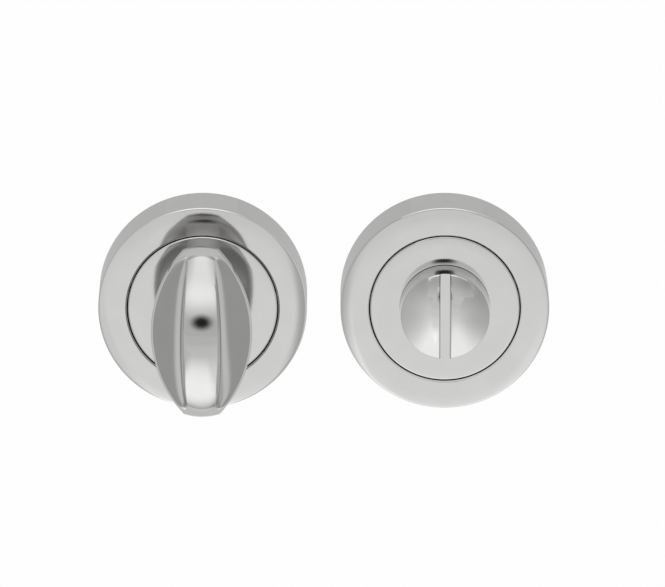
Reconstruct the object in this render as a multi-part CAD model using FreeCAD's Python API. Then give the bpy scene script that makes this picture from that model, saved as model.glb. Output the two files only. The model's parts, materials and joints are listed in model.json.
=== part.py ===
import FreeCAD, Part
import math
import os
from FreeCAD import Vector

# Bathroom thumb turn lock: an inside rose with a thumb turn and an outside rose with a slotted release.
# Millimetres, +Z up. The door's face is the plane y = 0 and the visible faces look along -Y.
# "Front" is the distance of a point in front of the door's face, so it counts along -Y.
# The origin is the thumb turn's axis on the door's face.

# Rose, both halves
ROSE_DIAMETER = 50.0
ROSE_HEIGHT = 13.6
ROSE_SPACING = 58.0
ROSE_EDGE = 0.3
COVER_WALL = 1.2
RING_WIDTH = 6.85
RING_EDGE_WIDTH = 0.45
RING_EDGE_DROP = 0.25
RING_GAP = 0.4
DISC_EDGE_WIDTH = 0.7
DISC_EDGE_DROP = 0.3

# Die-cast sub-rose under the cover
FLANGE_THICKNESS = 3.0
FLANGE_CLEARANCE = 0.2
HUB_WALL = 3.0
HUB_WEB = 4.0
BOSS_WALL = 2.0
BOSS_BACK = 5.5
RIB_THICKNESS = 2.0
RIB_COUNT = 4

# Sprung ring that grips the cover
SNAP_RING_WIDTH = 0.8
SNAP_RING_GROOVE = 0.7
SNAP_RING_GAP_DEG = 24.0
SNAP_RING_PLAY = 0.05

# Wood screws and the fixing holes, two of which stay free for through bolts
FIXING_FROM_EDGE = 4.4
FIXING_HOLE_DIAMETER = 3.2
FIXING_HOLES = 4
SCREW_DIAMETER = 2.8
SCREW_LENGTH = 16.0
SCREW_POINT = 3.0
SCREW_HEAD_DIAMETER = 5.0
SCREW_HEAD_HEIGHT = 1.8
SCREW_HEAD_EDGE = 0.9
SCREW_HEAD_TOP_DIAMETER = 3.6

# Shank and its bearing
SHANK_DIAMETER = 11.0
SHANK_END = 4.5
SHANK_CHAMFER = 0.6
RUNNING_FIT = 0.05
SEAT_GAP = 0.02
TURNING_GAP = 0.1
BUSH_WALL = 1.6
BUSH_FLANGE = 1.6
BUSH_FLANGE_THICKNESS = 1.0
BUSH_PROUD = 0.25
WASHER_WIDTH = 3.0
SPRING_HEIGHT = 1.1
SPRING_THICKNESS = 0.35
THRUST_THICKNESS = 0.8
CIRCLIP_THICKNESS = 0.8
CIRCLIP_GROOVE = 0.6
CIRCLIP_WIDTH = 1.7
CIRCLIP_GAP_DEG = 50.0
CIRCLIP_LUG = 3.0
CIRCLIP_HOLE = 0.9

# Spindle and its set screw
SPINDLE_SQUARE = 5.0
SPINDLE_REACH = 55.0
SPINDLE_CHAMFER = 0.8
SOCKET_PLAY = 0.1
SOCKET_DEPTH = 13.0
GRUB_DIAMETER = 3.0
GRUB_PLAY = 0.03
GRUB_FROM_END = 2.6
GRUB_SINK = 0.2
GRUB_HEX = 1.5
GRUB_HEX_DEPTH = 1.2

# Thumb turn, with heights above the rose's face
NECK_DIAMETER = 20.0
NECK_HEIGHT = 9.0
NECK_CORNER_DEG = 25.0
FLARE_SECTIONS = 5
GRIP_LENGTH = 41.8
GRIP_WIDTH = 24.0
GRIP_TIP_WIDTH = 6.6
GRIP_TIP_BULGE = 0.7
GRIP_EDGE_HEIGHT = 19.8
GRIP_EDGE_THICKNESS = 2.2
GRIP_LIP = 0.45
RIDGE_HEIGHT = 32.6
RIDGE_RADIUS = 21.3
RIDGE_CROWN_RADIUS = 30.0
RIDGE_WIDTH = 8.0
RIDGE_TIP_WIDTH = 5.8
FLANK_TURN_DEG = 45.0
FLANK_SECTIONS = 11
FLANK_SINK = 0.6
RIDGE_STOCK = 0.2

# Slotted release, with heights above the rose's face
RELEASE_DIAMETER = 21.2
RELEASE_SKIRT = 6.6
RELEASE_DOME_RISE = 3.1
RELEASE_EDGE = 0.3
COIN_SLOT_WIDTH = 2.7
COIN_SLOT_FLOOR = 6.2

# Worked-out sizes
ROSE_RADIUS = ROSE_DIAMETER / 2
RING_BORE = ROSE_RADIUS - RING_WIDTH
DISC_RADIUS = RING_BORE - RING_GAP
COVER_INSIDE = ROSE_RADIUS - COVER_WALL
FLANGE_RADIUS = COVER_INSIDE - FLANGE_CLEARANCE
SHANK_RADIUS = SHANK_DIAMETER / 2
BUSH_BORE = SHANK_RADIUS + RUNNING_FIT
BUSH_RADIUS = BUSH_BORE + BUSH_WALL
BUSH_FLANGE_RADIUS = BUSH_RADIUS + BUSH_FLANGE
BUSH_FLANGE_BACK = ROSE_HEIGHT + BUSH_PROUD - BUSH_FLANGE_THICKNESS
TURNING_FACE = ROSE_HEIGHT + BUSH_PROUD + TURNING_GAP
SPRING_FRONT = BOSS_BACK - SEAT_GAP
THRUST_FRONT = SPRING_FRONT - SPRING_HEIGHT - TURNING_GAP
CIRCLIP_FRONT = THRUST_FRONT - THRUST_THICKNESS - SEAT_GAP
CIRCLIP_BACK = CIRCLIP_FRONT - CIRCLIP_THICKNESS
CIRCLIP_SEAT = SHANK_RADIUS - CIRCLIP_GROOVE
WASHER_BORE = SHANK_RADIUS + RUNNING_FIT
SOCKET_SQUARE = SPINDLE_SQUARE + SOCKET_PLAY
SOCKET_TOP = SOCKET_DEPTH - SHANK_END
FIXING_RADIUS = ROSE_RADIUS - FIXING_FROM_EDGE
GRIP_FRONT = ROSE_HEIGHT + GRIP_EDGE_HEIGHT
GRIP_BACK = GRIP_FRONT - GRIP_EDGE_THICKNESS

TURN_AXIS = 0.0
RELEASE_AXIS = ROSE_SPACING
DEPTH_AXIS = Vector(0, 1, 0)


def at(x, front, z):
    """A point given by its distance in front of the door."""
    return Vector(x, -front, z)


def bowed(start, end, heading):
    """Arc between two points that leaves the first one along a heading."""
    chord = end - start
    angle = chord.getAngle(heading)
    along = chord * (chord.dot(heading) / chord.dot(chord))
    side = (heading - along).normalize()
    middle = (start + end) * 0.5 + side * (chord.Length / 2 * math.tan(angle / 2))
    return Part.Arc(start, middle, end)


def turned(axis_x, corners):
    """Solid of revolution about a rose's axis, from (radius, front) corners.

    A third value of 1 or -1 bows the stretch after that corner: it leaves the corner outwards or inwards.
    """
    points = [at(axis_x + corner[0], corner[1], 0) for corner in corners]
    edges = []
    for index, corner in enumerate(corners):
        following = points[(index + 1) % len(points)]
        if len(corner) == 3:
            stretch = bowed(points[index], following, Vector(corner[2], 0, 0))
        else:
            stretch = Part.LineSegment(points[index], following)
        edges.append(stretch.toShape())
    return Part.Face(Part.Wire(edges)).revolve(at(axis_x, 0, 0), DEPTH_AXIS, 360)


def cylinder(axis_x, z, radius, back, front):
    """Round bar along the depth axis."""
    return Part.makeCylinder(radius, front - back, at(axis_x, front, z), DEPTH_AXIS)


def square_bar(axis_x, side, back, front):
    """Square bar along the depth axis."""
    return Part.makeBox(side, front - back, side, at(axis_x - side / 2, front, -side / 2))


def block(axis_x, width, height, back, front, z_low):
    """Box centred on an axis in x and starting at z_low."""
    return Part.makeBox(width, front - back, height, at(axis_x - width / 2, front, z_low))


def spun(shape, axis_x, degrees):
    """Copy of a shape turned about a rose's axis."""
    copy = shape.copy()
    copy.rotate(at(axis_x, 0, 0), DEPTH_AXIS, degrees)
    return copy


def sector(axis_x, radius, back, front, degrees):
    """Wedge centred on +Z, used to open a ring."""
    half = math.radians(degrees) / 2
    reach = radius / math.cos(half)
    left = at(axis_x - reach * math.sin(half), back, reach * math.cos(half))
    right = at(axis_x + reach * math.sin(half), back, reach * math.cos(half))
    wedge = Part.Face(Part.makePolygon([at(axis_x, back, 0), right, left, at(axis_x, back, 0)]))
    return wedge.extrude(at(0, front - back, 0))


def cover_ring(axis_x):
    """Pressed cover: outer ring of the face, softened towards the groove, and the rim."""
    plate_back = ROSE_HEIGHT - COVER_WALL
    return turned(axis_x, [
        (RING_BORE, plate_back),
        (COVER_INSIDE, plate_back),
        (COVER_INSIDE, 0),
        (ROSE_RADIUS, 0),
        (ROSE_RADIUS, ROSE_HEIGHT - ROSE_EDGE),
        (ROSE_RADIUS - ROSE_EDGE, ROSE_HEIGHT),
        (RING_BORE + RING_EDGE_WIDTH, ROSE_HEIGHT),
        (RING_BORE, ROSE_HEIGHT - RING_EDGE_DROP),
    ])


def sub_rose(axis_x):
    """Die casting: screw flange, cored hub with a ribbed boss, and the inner disc of the face."""
    bore = BUSH_RADIUS + SEAT_GAP
    flange_seat = BUSH_FLANGE_RADIUS + SEAT_GAP
    boss = BUSH_RADIUS + BOSS_WALL
    recess = DISC_RADIUS - HUB_WALL
    web_back = ROSE_HEIGHT - HUB_WEB
    groove_front = (FLANGE_THICKNESS + SNAP_RING_WIDTH) / 2 + SNAP_RING_PLAY
    groove_back = (FLANGE_THICKNESS - SNAP_RING_WIDTH) / 2 - SNAP_RING_PLAY
    groove_floor = FLANGE_RADIUS - SNAP_RING_GROOVE
    casting = turned(axis_x, [
        (flange_seat, ROSE_HEIGHT),
        (DISC_RADIUS - DISC_EDGE_WIDTH, ROSE_HEIGHT),
        (DISC_RADIUS, ROSE_HEIGHT - DISC_EDGE_DROP),
        (DISC_RADIUS, FLANGE_THICKNESS),
        (FLANGE_RADIUS, FLANGE_THICKNESS),
        (FLANGE_RADIUS, groove_front),
        (groove_floor, groove_front),
        (groove_floor, groove_back),
        (FLANGE_RADIUS, groove_back),
        (FLANGE_RADIUS, 0),
        (recess, 0),
        (recess, web_back),
        (boss, web_back),
        (boss, BOSS_BACK),
        (bore, BOSS_BACK),
        (bore, BUSH_FLANGE_BACK),
        (flange_seat, BUSH_FLANGE_BACK),
    ])
    rib_start = boss - BOSS_WALL / 2
    rib_end = recess + HUB_WALL / 2
    rib = block(axis_x, RIB_THICKNESS, rib_end - rib_start, BOSS_BACK, web_back + HUB_WEB / 2, rib_start)
    ribs = [spun(rib, axis_x, 360 / RIB_COUNT * (step + 0.5)) for step in range(RIB_COUNT)]
    hole = cylinder(axis_x, FIXING_RADIUS, FIXING_HOLE_DIAMETER / 2, 0, FLANGE_THICKNESS)
    holes = [spun(hole, axis_x, 360 / FIXING_HOLES * step) for step in range(FIXING_HOLES)]
    return casting.fuse(ribs).removeSplitter().cut(holes)


def snap_ring(axis_x):
    """Split spring ring between the flange's groove and the cover's rim."""
    inside = FLANGE_RADIUS - SNAP_RING_GROOVE + SEAT_GAP
    outside = COVER_INSIDE - SEAT_GAP
    back = (FLANGE_THICKNESS - SNAP_RING_WIDTH) / 2
    front = back + SNAP_RING_WIDTH
    closed = ring(axis_x, inside, outside, back, front)
    return closed.cut(sector(axis_x, ROSE_RADIUS, back, front, SNAP_RING_GAP_DEG))


def bush(axis_x):
    """Flanged bearing let into the hub, its flange a little proud of the disc."""
    front = ROSE_HEIGHT + BUSH_PROUD
    return turned(axis_x, [
        (BUSH_BORE, BOSS_BACK),
        (BUSH_RADIUS, BOSS_BACK),
        (BUSH_RADIUS, BUSH_FLANGE_BACK),
        (BUSH_FLANGE_RADIUS, BUSH_FLANGE_BACK),
        (BUSH_FLANGE_RADIUS, front),
        (BUSH_BORE, front),
    ])


def ring(axis_x, inside, outside, back, front):
    """Flat ring about a rose's axis."""
    return cylinder(axis_x, 0, outside, back, front).cut(cylinder(axis_x, 0, inside, back, front))


def spring_washer(axis_x):
    """Washer bowed about a cross line, its middle against the boss and its two ends on the thrust washer."""
    outside = WASHER_BORE + WASHER_WIDTH
    bow = SPRING_HEIGHT - SPRING_THICKNESS
    bend = (outside ** 2 + bow ** 2) / (2 * bow)
    blank = ring(axis_x, WASHER_BORE + RUNNING_FIT, outside, SPRING_FRONT - SPRING_HEIGHT, SPRING_FRONT)
    corner = at(axis_x - outside, SPRING_FRONT - bend, 0)
    outer = Part.makeCylinder(bend, 2 * outside, corner, Vector(1, 0, 0))
    inner = Part.makeCylinder(bend - SPRING_THICKNESS, 2 * outside, corner, Vector(1, 0, 0))
    return blank.common(outer.cut(inner))


def thrust_washer(axis_x):
    """Flat washer that turns with the shank."""
    back = THRUST_FRONT - THRUST_THICKNESS
    return ring(axis_x, WASHER_BORE, WASHER_BORE + WASHER_WIDTH, back, THRUST_FRONT)


def circlip(axis_x):
    """Open retaining ring with two plier lugs, in the shank's groove."""
    inside = CIRCLIP_SEAT + SEAT_GAP
    outside = inside + CIRCLIP_WIDTH
    half_gap = math.radians(CIRCLIP_GAP_DEG) / 2
    plate = cylinder(axis_x, 0, outside, CIRCLIP_BACK, CIRCLIP_FRONT)
    lug_centre = inside + CIRCLIP_LUG / 2
    lug_angle = half_gap + math.asin(CIRCLIP_LUG / 2 / lug_centre)
    holes = []
    for side in (-1, 1):
        degrees = math.degrees(side * lug_angle)
        lug = cylinder(axis_x, lug_centre, CIRCLIP_LUG / 2, CIRCLIP_BACK, CIRCLIP_FRONT)
        hole = cylinder(axis_x, lug_centre, CIRCLIP_HOLE / 2, CIRCLIP_BACK, CIRCLIP_FRONT)
        plate = plate.fuse(spun(lug, axis_x, degrees))
        holes.append(spun(hole, axis_x, degrees))
    opening = sector(axis_x, outside + CIRCLIP_LUG, CIRCLIP_BACK, CIRCLIP_FRONT, CIRCLIP_GAP_DEG)
    bore = cylinder(axis_x, 0, inside, CIRCLIP_BACK, CIRCLIP_FRONT)
    return plate.cut(holes + [opening, bore]).removeSplitter()


def shank(axis_x, front):
    """Round shank with the circlip's groove and a square socket open to the back."""
    end = -SHANK_END
    bar = turned(axis_x, [
        (0, front),
        (SHANK_RADIUS, front),
        (SHANK_RADIUS, CIRCLIP_FRONT + SEAT_GAP),
        (CIRCLIP_SEAT, CIRCLIP_FRONT + SEAT_GAP),
        (CIRCLIP_SEAT, CIRCLIP_BACK - SEAT_GAP),
        (SHANK_RADIUS, CIRCLIP_BACK - SEAT_GAP),
        (SHANK_RADIUS, end + SHANK_CHAMFER),
        (SHANK_RADIUS - SHANK_CHAMFER, end),
        (0, end),
    ])
    return bar.cut(square_bar(axis_x, SOCKET_SQUARE, end, SOCKET_TOP))


def wood_screws(axis_x):
    """Pair of pan-head screws in the upper and lower fixing holes."""
    seat = FLANGE_THICKNESS
    tip = seat - SCREW_LENGTH
    core = SCREW_DIAMETER / 2
    head = SCREW_HEAD_DIAMETER / 2
    top = seat + SCREW_HEAD_HEIGHT
    body = turned(axis_x, [
        (0, tip),
        (core, tip + SCREW_POINT),
        (core, seat),
        (head, seat),
        (head, seat + SCREW_HEAD_EDGE),
        (SCREW_HEAD_TOP_DIAMETER / 2, top),
        (0, top),
    ])
    pair = []
    for side in (-1, 1):
        copy = body.copy()
        copy.translate(Vector(0, 0, side * FIXING_RADIUS))
        pair.append(copy)
    return Part.makeCompound(pair)


def grip_outline(half_width, half_length, half_tip, bulge, front):
    """Closed outline of four arcs: two long sides and two short ends."""
    upper = half_length - bulge
    right_top = at(TURN_AXIS + half_tip, front, upper)
    left_top = at(TURN_AXIS - half_tip, front, upper)
    left_low = at(TURN_AXIS - half_tip, front, -upper)
    right_low = at(TURN_AXIS + half_tip, front, -upper)
    arcs = [
        Part.Arc(right_low, at(TURN_AXIS + half_width, front, 0), right_top),
        Part.Arc(right_top, at(TURN_AXIS, front, half_length), left_top),
        Part.Arc(left_top, at(TURN_AXIS - half_width, front, 0), left_low),
        Part.Arc(left_low, at(TURN_AXIS, front, -half_length), right_low),
    ]
    return Part.Wire([arc.toShape() for arc in arcs])


def grip_half_width(z):
    """Half-width of the lemon outline at a height, on its side arc."""
    half_tip = GRIP_TIP_WIDTH / 2
    tip_z = GRIP_LENGTH / 2 - GRIP_TIP_BULGE
    rise = GRIP_WIDTH / 2 - half_tip
    radius = (tip_z ** 2 + rise ** 2) / (2 * rise)
    return GRIP_WIDTH / 2 - radius + math.sqrt(radius ** 2 - z ** 2)


def flank_section(z, ridge_front, share):
    """Cross-section of the ridge at a height: a narrow top between two hollow flanks."""
    foot = grip_half_width(z) - GRIP_LIP
    half_ridge = (RIDGE_WIDTH + (RIDGE_TIP_WIDTH - RIDGE_WIDTH) * share) / 2
    top = ridge_front + RIDGE_STOCK
    run = foot - half_ridge
    climb = top - GRIP_FRONT
    sag = math.tan(math.radians(FLANK_TURN_DEG) / 4) / 2
    middle_x = (foot + half_ridge) / 2 - climb * sag
    middle_front = (GRIP_FRONT + top) / 2 - run * sag
    bottom = GRIP_FRONT - FLANK_SINK
    edges = [Part.LineSegment(at(-foot, bottom, z), at(foot, bottom, z)),
             Part.LineSegment(at(foot, bottom, z), at(foot, GRIP_FRONT, z)),
             Part.Arc(at(foot, GRIP_FRONT, z), at(middle_x, middle_front, z), at(half_ridge, top, z)),
             Part.LineSegment(at(half_ridge, top, z), at(-half_ridge, top, z)),
             Part.Arc(at(-half_ridge, top, z), at(-middle_x, middle_front, z), at(-foot, GRIP_FRONT, z)),
             Part.LineSegment(at(-foot, GRIP_FRONT, z), at(-foot, bottom, z))]
    return Part.Wire([edge.toShape() for edge in edges])


def ridge():
    """Hollow-flanked ridge, trimmed by the crowned barrel that forms its crest."""
    centre = ROSE_HEIGHT + RIDGE_HEIGHT - RIDGE_RADIUS
    end_angle = math.acos((GRIP_FRONT - FLANK_SINK / 2 - centre) / RIDGE_RADIUS)
    sections = []
    for step in range(FLANK_SECTIONS):
        share = 2 * step / (FLANK_SECTIONS - 1) - 1
        angle = end_angle * share
        z = RIDGE_RADIUS * math.sin(angle)
        sections.append(flank_section(z, centre + RIDGE_RADIUS * math.cos(angle), share ** 2))
    stock = Part.makeLoft(sections, True, False)
    half = GRIP_WIDTH / 2
    drop = RIDGE_CROWN_RADIUS - math.sqrt(RIDGE_CROWN_RADIUS ** 2 - half ** 2)
    edge_radius = RIDGE_RADIUS - drop
    crown = Part.Arc(at(-half, centre + edge_radius, 0), at(0, centre + RIDGE_RADIUS, 0),
                     at(half, centre + edge_radius, 0))
    sides = Part.makePolygon([at(half, centre + edge_radius, 0), at(half, centre, 0),
                              at(-half, centre, 0), at(-half, centre + edge_radius, 0)])
    barrel = Part.Face(Part.Wire([crown.toShape()] + sides.Edges))
    return stock.common(barrel.revolve(at(0, centre, 0), Vector(1, 0, 0), 360))


def flare_outline(share, front):
    """Outline between the round neck, at a share of 0, and the grip's lemon, at a share of 1."""
    neck = NECK_DIAMETER / 2
    corner = math.radians(NECK_CORNER_DEG)
    round_sizes = (neck, neck, neck * math.sin(corner), neck * (1 - math.cos(corner)))
    lemon_sizes = (GRIP_WIDTH / 2, GRIP_LENGTH / 2, GRIP_TIP_WIDTH / 2, GRIP_TIP_BULGE)
    sizes = [start + (end - start) * share for start, end in zip(round_sizes, lemon_sizes)]
    return grip_outline(*sizes, front)


def flare():
    """Trumpet between the round neck and the flat back of the grip."""
    neck_front = ROSE_HEIGHT + NECK_HEIGHT
    outlines = []
    for step in range(FLARE_SECTIONS):
        angle = math.pi / 2 * step / (FLARE_SECTIONS - 1)
        front = neck_front + (GRIP_BACK - neck_front) * math.sin(angle)
        outlines.append(flare_outline(1 - math.cos(angle), front))
    return Part.makeLoft(outlines, True, False)


def thumb_turn():
    """Lemon-shaped grip on a flared neck, in one piece with its shank."""
    neck = cylinder(TURN_AXIS, 0, NECK_DIAMETER / 2, TURNING_FACE, ROSE_HEIGHT + NECK_HEIGHT)
    plate = Part.Face(flare_outline(1, GRIP_BACK)).extrude(at(0, GRIP_EDGE_THICKNESS, 0))
    grip = flare().fuse([plate, ridge(), neck]).removeSplitter()
    body = grip.fuse(shank(TURN_AXIS, TURNING_FACE)).removeSplitter()
    grub_foot = at(TURN_AXIS, GRUB_FROM_END - SHANK_END, 0)
    return body.cut(Part.makeCylinder(GRUB_DIAMETER / 2, SHANK_RADIUS, grub_foot, Vector(0, 0, 1)))


def drive_spindle():
    """Square bar from the turn's socket, through the door, with a tapered end."""
    front = SOCKET_TOP - SOCKET_PLAY
    side = SPINDLE_SQUARE
    bar = square_bar(TURN_AXIS, side, -SPINDLE_REACH, front)
    end = [edge for edge in bar.Edges if edge.BoundBox.YMin > SPINDLE_REACH - SPINDLE_CHAMFER / 2]
    return bar.makeChamfer(SPINDLE_CHAMFER, end)


def grub_screw():
    """Socket set screw in the shank, its foot on the spindle."""
    front = GRUB_FROM_END - SHANK_END
    foot = SPINDLE_SQUARE / 2 + SEAT_GAP
    head = SHANK_RADIUS - GRUB_SINK
    axis = Vector(0, 0, 1)
    screw = Part.makeCylinder(GRUB_DIAMETER / 2 - GRUB_PLAY, head - foot, at(TURN_AXIS, front, foot), axis)
    corner = GRUB_HEX / math.sqrt(3)
    points = []
    for step in range(7):
        angle = math.pi / 3 * step
        points.append(at(corner * math.cos(angle), front + corner * math.sin(angle), head))
    hexagon = Part.Face(Part.makePolygon(points)).extrude(Vector(0, 0, -GRUB_HEX_DEPTH))
    return screw.cut(hexagon)


def release_head():
    """Slotted dome on a round skirt, in one piece with its shank."""
    radius = RELEASE_DIAMETER / 2
    skirt_top = ROSE_HEIGHT + RELEASE_SKIRT
    crest = skirt_top + RELEASE_DOME_RISE
    knob = turned(RELEASE_AXIS, [
        (0, crest, 1),
        (radius - RELEASE_EDGE, skirt_top),
        (radius, skirt_top - RELEASE_EDGE),
        (radius, TURNING_FACE),
        (0, TURNING_FACE),
    ])
    coin_slot = block(RELEASE_AXIS, COIN_SLOT_WIDTH, 2 * RELEASE_DIAMETER, ROSE_HEIGHT + COIN_SLOT_FLOOR,
                      crest + RELEASE_DOME_RISE, -RELEASE_DIAMETER)
    return knob.cut(coin_slot).fuse(shank(RELEASE_AXIS, TURNING_FACE)).removeSplitter()


def rose_pieces(side, axis_x):
    """The pieces that both halves share."""
    return {
        side + "_cover_ring": cover_ring(axis_x),
        side + "_sub_rose": sub_rose(axis_x),
        side + "_snap_ring": snap_ring(axis_x),
        side + "_bush": bush(axis_x),
        side + "_spring_washer": spring_washer(axis_x),
        side + "_thrust_washer": thrust_washer(axis_x),
        side + "_circlip": circlip(axis_x),
        side + "_wood_screws": wood_screws(axis_x),
    }


def main():
    os.makedirs("parts", exist_ok=True)
    pieces = {
        "thumb_turn": thumb_turn(),
        "drive_spindle": drive_spindle(),
        "spindle_grub_screw": grub_screw(),
        "release_head": release_head(),
    }
    pieces.update(rose_pieces("turn", TURN_AXIS))
    pieces.update(rose_pieces("release", RELEASE_AXIS))
    for name, shape in pieces.items():
        shape.exportStep(os.path.join("parts", name + ".step"))


main()
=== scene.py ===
import json
import math

import bmesh
import bpy
from bpy.props import FloatProperty, FloatVectorProperty, PointerProperty
from bpy.types import Operator, Panel, PropertyGroup
from mathutils import Matrix, Vector


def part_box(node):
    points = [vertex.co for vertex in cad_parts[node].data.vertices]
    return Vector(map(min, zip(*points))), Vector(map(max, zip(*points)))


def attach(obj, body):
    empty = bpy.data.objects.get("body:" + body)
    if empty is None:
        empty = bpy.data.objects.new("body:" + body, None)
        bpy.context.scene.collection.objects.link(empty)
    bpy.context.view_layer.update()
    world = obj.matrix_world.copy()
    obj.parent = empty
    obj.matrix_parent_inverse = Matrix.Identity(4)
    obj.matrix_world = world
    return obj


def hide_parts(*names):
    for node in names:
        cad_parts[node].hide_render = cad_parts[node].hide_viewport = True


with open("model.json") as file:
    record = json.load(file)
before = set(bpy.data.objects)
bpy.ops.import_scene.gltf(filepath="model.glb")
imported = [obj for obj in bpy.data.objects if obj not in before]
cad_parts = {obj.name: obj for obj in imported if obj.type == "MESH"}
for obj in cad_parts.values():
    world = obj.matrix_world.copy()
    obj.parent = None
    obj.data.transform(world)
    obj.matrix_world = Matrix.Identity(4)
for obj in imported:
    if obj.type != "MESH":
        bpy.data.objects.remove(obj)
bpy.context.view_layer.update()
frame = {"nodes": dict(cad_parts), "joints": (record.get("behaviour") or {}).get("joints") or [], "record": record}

bl_info = {
    "name": "Bathroom Thumb Turn Lock",
    "version": (1, 0, 0),
    "blender": (4, 5, 0),
    "location": "3D View > Sidebar > Lock",
    "description": "Dresses the turn and release set: plated roses, thumb turn, release, screws and stage",
    "category": "Object",
}

NODES = frame["nodes"]
HALVES = ("turn", "release")


def axis_of(half):
    """X of a rose's axis, from the joint that turns in it."""
    for joint in frame["joints"]:
        if joint["name"] == half + "_rotation":
            return joint["pos_m"][0]
    raise RuntimeError("no joint turns in the " + half + " rose")


AXES = {half: axis_of(half) for half in HALVES}


# Shader maths

def plug(socket, value):
    """Give a socket a value, or a link from a wire."""
    if isinstance(value, Wire):
        value.tree.links.new(value.socket, socket)
    else:
        socket.default_value = value


class Wire:
    """A socket of a material's nodes. Expressions on wires add the Math nodes that they need."""

    def __init__(self, tree, socket=None):
        self.tree = tree
        self.socket = socket

    def node(self, kind, settings=None, inputs=None, output=0):
        """Add a node: its settings first, then the values or wires of its sockets."""
        made = self.tree.nodes.new(kind)
        for name, value in (settings or {}).items():
            setattr(made, name, value)
        for name, value in (inputs or {}).items():
            plug(made.inputs[name], value)
        return Wire(self.tree, made.outputs[output])

    def maths(self, operation, first, second=0.0):
        return self.node("ShaderNodeMath", {"operation": operation}, {0: first, 1: second})

    def __add__(self, other):
        return self.maths("ADD", self, other)

    def __radd__(self, other):
        return self.maths("ADD", other, self)

    def __sub__(self, other):
        return self.maths("SUBTRACT", self, other)

    def __rsub__(self, other):
        return self.maths("SUBTRACT", other, self)

    def __mul__(self, other):
        return self.maths("MULTIPLY", self, other)

    def __rmul__(self, other):
        return self.maths("MULTIPLY", other, self)

    def smooth_step(self, low, high):
        """0 below low, 1 above high, and a soft ramp between them."""
        return self.node("ShaderNodeMapRange", {"interpolation_type": "SMOOTHSTEP"},
                         {"Value": self, "From Min": low, "From Max": high})

    def ramps(self, base, *steps):
        """A base level and soft steps from it, each given by its rise, where it starts and where it ends."""
        level = base
        for rise, start, end in steps:
            level = level + rise * self.smooth_step(start, end)
        return level

    def noise(self, coords, scale, detail):
        return self.node("ShaderNodeTexNoise", None, {"Vector": coords, "Scale": scale, "Detail": detail})

    def bump(self, height, strength, distance):
        return self.node("ShaderNodeBump", None,
                         {"Strength": strength, "Distance": distance, "Height": height})

    def grey(self, level):
        """A grey of one level."""
        return self.node("ShaderNodeCombineColor", None, {0: level, 1: level, 2: level})

    def blend(self, factor, first, second):
        """Mix of two colours."""
        return self.node("ShaderNodeMix", {"data_type": "RGBA"}, {0: factor, 6: first, 7: second}, 2)

    def axis(self, vector, letter):
        """One component of a vector."""
        return self.node("ShaderNodeSeparateXYZ", None, {0: vector}, "XYZ".index(letter))


def new_material(name):
    """A new material, its Principled shader, its wires and its Object coordinates."""
    material = bpy.data.materials.new(name)
    material.use_nodes = True
    wires = Wire(material.node_tree)
    coords = wires.node("ShaderNodeTexCoord", output="Object")
    return material, material.node_tree.nodes["Principled BSDF"], wires, coords


def feed(shader, **sockets):
    """Fill the shader's sockets, whose names have underscores for spaces."""
    for name, value in sockets.items():
        plug(shader.inputs[name.replace("_", " ")], value)


def tint(colour, factor):
    """A colour made lighter or darker by a factor."""
    return tuple(channel * factor for channel in colour[:3]) + (1.0,)


# Finishes

HAZE_TONE = 0.015
HAZE_BLUR = 0.03
POLISH_BLUR = 0.012
POLISH_STRETCH = (30.0, 1.0, 1.0)
# extra roughness where the painted shade falls, and the fade at the edge of the painted shade behind the grip
SHADE_BLUR = 0.12
SHADE_FADE = 0.0016
SLOT_FADE = 0.00004


def polished_chrome(finish, name="polished_chrome", tone=1.0, shaded_part=None):
    """Bright chrome plate: nearly a mirror, with faint polishing haze and a trace of casting ripple.

    A function of the wires and the coordinates may give a part with painted shade, darker and rougher.
    """
    material, shader, wires, coords = new_material(name)
    haze = wires.noise(coords, finish.haze_scale, detail=3.0)
    ripple = wires.noise(coords, finish.ripple_scale, detail=1.0)
    lines = wires.node("ShaderNodeMapping", None, {"Vector": coords, "Scale": POLISH_STRETCH})
    polish = wires.noise(lines, finish.polish_scale, detail=2.0)
    colour = wires.blend(haze.smooth_step(0.3, 0.7), tint(finish.chrome, tone * (1 - HAZE_TONE)),
                         tint(finish.chrome, tone * (1 + HAZE_TONE)))
    roughness = finish.chrome_roughness + (haze - 0.5) * HAZE_BLUR + (polish - 0.5) * POLISH_BLUR
    if shaded_part:
        # painted shade: the part's colour is darkened, and its roughness raised
        shade_and_blur = shaded_part(wires, coords)
        colour = wires.blend(shade_and_blur, colour, tint(finish.chrome, finish.painted_shade_tone))
        roughness = roughness + SHADE_BLUR * shade_and_blur
    feed(shader, Base_Color=colour, Metallic=1.0, Roughness=roughness,
         Normal=wires.bump(ripple, strength=0.03, distance=0.0002))
    return material


def zinc_plate(finish):
    """Bright zinc on steel: pale, cool and slightly mottled, with a fine satin grain."""
    material, shader, wires, coords = new_material("zinc_plate")
    mottle = wires.noise(coords, scale=350.0, detail=3.0)
    grain = wires.noise(coords, scale=5000.0, detail=2.0)
    red, green, blue = finish.zinc
    cool = tint((red * 0.97, green, blue * 1.04), 0.95)
    colour = wires.blend(mottle.smooth_step(0.35, 0.65), cool, tint(finish.zinc, 1.05))
    feed(shader, Base_Color=colour, Metallic=1.0, Roughness=0.26 + mottle * 0.16,
         Normal=wires.bump(grain, strength=0.15, distance=0.00005))
    return material


def black_spring_steel(finish):
    """Oil-blackened spring steel: dark, with a low satin sheen and rubbed patches."""
    material, shader, wires, coords = new_material("black_spring_steel")
    rub = wires.noise(coords, scale=900.0, detail=4.0)
    colour = wires.blend(rub.smooth_step(0.5, 0.8), tint(finish.black_steel, 0.9),
                         tint(finish.black_steel, 2.2))
    feed(shader, Base_Color=colour, Metallic=0.6, Roughness=0.36 + rub * 0.2,
         Normal=wires.bump(rub, strength=0.2, distance=0.00005))
    return material


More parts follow.
